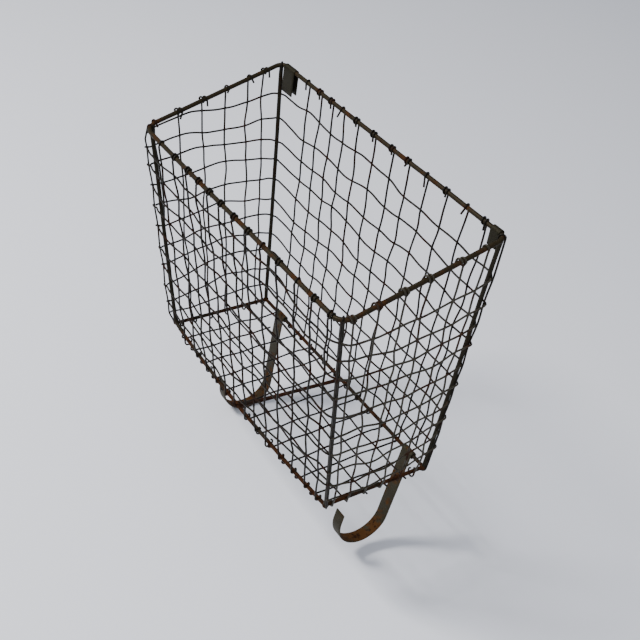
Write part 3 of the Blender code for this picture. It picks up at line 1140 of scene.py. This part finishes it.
def strap_arc(centre_y, centre_z, radius, start, end, steps):
    """Points of an arc, with angles in degrees from +y towards +z."""
    points = []
    for step in range(steps + 1):
        angle = math.radians(start + (end - start) * step / steps)
        points.append((centre_y + radius * math.cos(angle), centre_z + radius * math.sin(angle)))
    return points


def straight(start, end, steps):
    """Points from start to end, with neither of them."""
    points = []
    for step in range(1, steps):
        share = step / steps
        y = start[0] + (end[0] - start[0]) * share
        z = start[1] + (end[1] - start[1]) * share
        points.append((y, z))
    return points


tab_steel = strap_steel(
    "tab_steel",
    skin=(0.010, 0.009, 0.005),
    worn=(0.027, 0.024, 0.014),
    rust=(0.026, 0.013, 0.006),
    deep_rust=(0.012, 0.006, 0.004),
    coverage=0.36,
    inner_coverage=0.70,
)
fold_r = FRAME_R + 0.0002 + TAB_THICK / 2
for side_name, tab in tabs.items():
    inner_end, outer_end = (-fold_r + 0.0001, -tab["inner"]), (fold_r, -tab["outer"])
    tab_path = [inner_end] + straight(inner_end, (-fold_r, 0), 8)
    tab_path += strap_arc(0, 0, fold_r, 180, 0, 16)
    tab_path += straight((fold_r, 0), outer_end, 6) + [outer_end]
    widths = (tab["width"], tab["width"])
    tab_strap = strap(
        "tab_" + side_name, tab_path, tab["x"], widths, TAB_THICK, tab_steel, [0.0, 0.0]
    )
    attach(tab_strap, "basket")
    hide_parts("rim_tab_" + side_name)


# ---------------------------------------------------------------------------------------------
# Hooks. Two lengths of flat strap rolled loosely round the back bottom rail and bent to a J, so
# that they swing. Olive grey outside, orange brown rust on the inner face of the bend, darker
# where the bend was worked.

HOOK_THICK = 0.0015
HOOK_TIP_WIDTH = 0.013
EYE_PLAY = 0.0003
EYE_R = FRAME_R + EYE_PLAY + HOOK_THICK / 2
# How rusty the inner face is, at even steps from the eye to the tip.
INNER_RUST = [0.9, 0.9, 0.45, 0.30, 0.55, 1.0, 1.0, 0.8, 0.4]
hooks = {
    "left": {
        "x": -0.116,
        "width": 0.0165,
        "leg": 0.0930,
        "heel": 0.0275,
        "toe": 0.0340,
        "tip": 0.009,
        "swing": -3.0,
    },
    "right": {
        "x": 0.1272,
        "width": 0.0155,
        "leg": 0.0815,
        "heel": 0.0265,
        "toe": 0.0335,
        "tip": 0.0095,
        "swing": -9.75,
    },
}
hook_steel = strap_steel(
    "hook_steel",
    skin=(0.021, 0.018, 0.010),
    worn=(0.056, 0.049, 0.031),
    rust=(0.074, 0.032, 0.010),
    deep_rust=(0.022, 0.009, 0.004),
    coverage=0.30,
    inner_coverage=0.88,
)
for side_name, hook in hooks.items():
    leg, heel, toe = hook["leg"], hook["heel"], hook["toe"]
    path = strap_arc(0, 0, EYE_R, -108, 180, 22)
    path += straight((-EYE_R, 0), (-EYE_R, -leg), 14)
    path += strap_arc(-EYE_R - heel, -leg, heel, 0, -90, 18)
    path += strap_arc(-EYE_R - heel, -leg - heel + toe, toe, -90, -180, 20)[1:]
    toe_y, toe_z = path[-1]
    tip_end = (toe_y, toe_z + hook["tip"])
    path += straight((toe_y, toe_z), tip_end, 3) + [tip_end]
    swing = math.radians(hook["swing"])
    turned = []
    for y, z in path:
        turned_y = y * math.cos(swing) - z * math.sin(swing)
        turned_z = y * math.sin(swing) + z * math.cos(swing)
        turned.append((turned_y, turned_z - HEIGHT))
    widths = (hook["width"], HOOK_TIP_WIDTH)
    hook_strap = strap(
        "strap_hook_" + side_name,
        turned,
        hook["x"],
        widths,
        HOOK_THICK,
        hook_steel,
        INNER_RUST,
    )
    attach(hook_strap, "hook_" + side_name)
    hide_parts("hook_" + side_name)


# ---------------------------------------------------------------------------------------------
# Stage. A plain pale floor under the hooks, a broad soft light from the upper left, a weaker one
# from the right, and the camera.

floor_z = cad_low[2] - 0.0005
floor_data = bpy.data.meshes.new("stage_floor")
floor_data.from_pydata(
    [(-8, -8, floor_z), (8, -8, floor_z), (8, 8, floor_z), (-8, 8, floor_z)],
    [],
    [(0, 1, 2, 3)],
)
stage_floor = bpy.data.objects.new("stage_floor", floor_data)
bpy.context.scene.collection.objects.link(stage_floor)
pale = bpy.data.materials.new("pale_floor")
pale.use_nodes = True
pale.node_tree.nodes["Principled BSDF"].inputs["Base Color"].default_value = (0.84, 0.86, 0.94, 1)
pale.node_tree.nodes["Principled BSDF"].inputs["Roughness"].default_value = 0.9
floor_data.materials.append(pale)


def soft_light(name, place, aim, size, power, colour):
    data = bpy.data.lights.new(name, "AREA")
    data.shape = "DISK"
    data.size = size
    data.energy = power
    data.color = colour
    lamp = bpy.data.objects.new(name, data)
    lamp.location = place
    lamp.rotation_euler = (Vector(aim) - Vector(place)).to_track_quat("-Z", "Y").to_euler()
    bpy.context.scene.collection.objects.link(lamp)


soft_light("key_light", (-0.9, -1.5, 1.9), (0, -0.06, -0.15), 0.6, 92, (1.0, 0.98, 0.95))
soft_light("fill_light", (1.8, -0.6, 1.2), (0, -0.06, -0.15), 1.6, 14, (0.95, 0.97, 1.0))
sky = bpy.data.worlds.new("studio")
sky.use_nodes = True
sky.node_tree.nodes["Background"].inputs["Color"].default_value = (0.90, 0.94, 1.0, 1)
sky.node_tree.nodes["Background"].inputs["Strength"].default_value = 0.45
bpy.context.scene.world = sky

camera_data = bpy.data.cameras.new("camera")
camera_data.sensor_width = 36
camera_data.lens = 60.52
camera = bpy.data.objects.new("camera", camera_data)
# The camera's own right, down and ahead.
right = Vector((0.54162, 0.83009, 0.13268))
down = Vector((0.55635, -0.23564, -0.79684))
ahead = Vector((-0.63018, 0.50540, -0.58944))
turn = Matrix((right, -down, -ahead)).transposed()
camera.matrix_world = Matrix.Translation((0.68056, -0.58289, 0.44175)) @ turn.to_4x4()
bpy.context.scene.collection.objects.link(camera)
bpy.context.scene.camera = camera

bpy.context.view_layer.update()
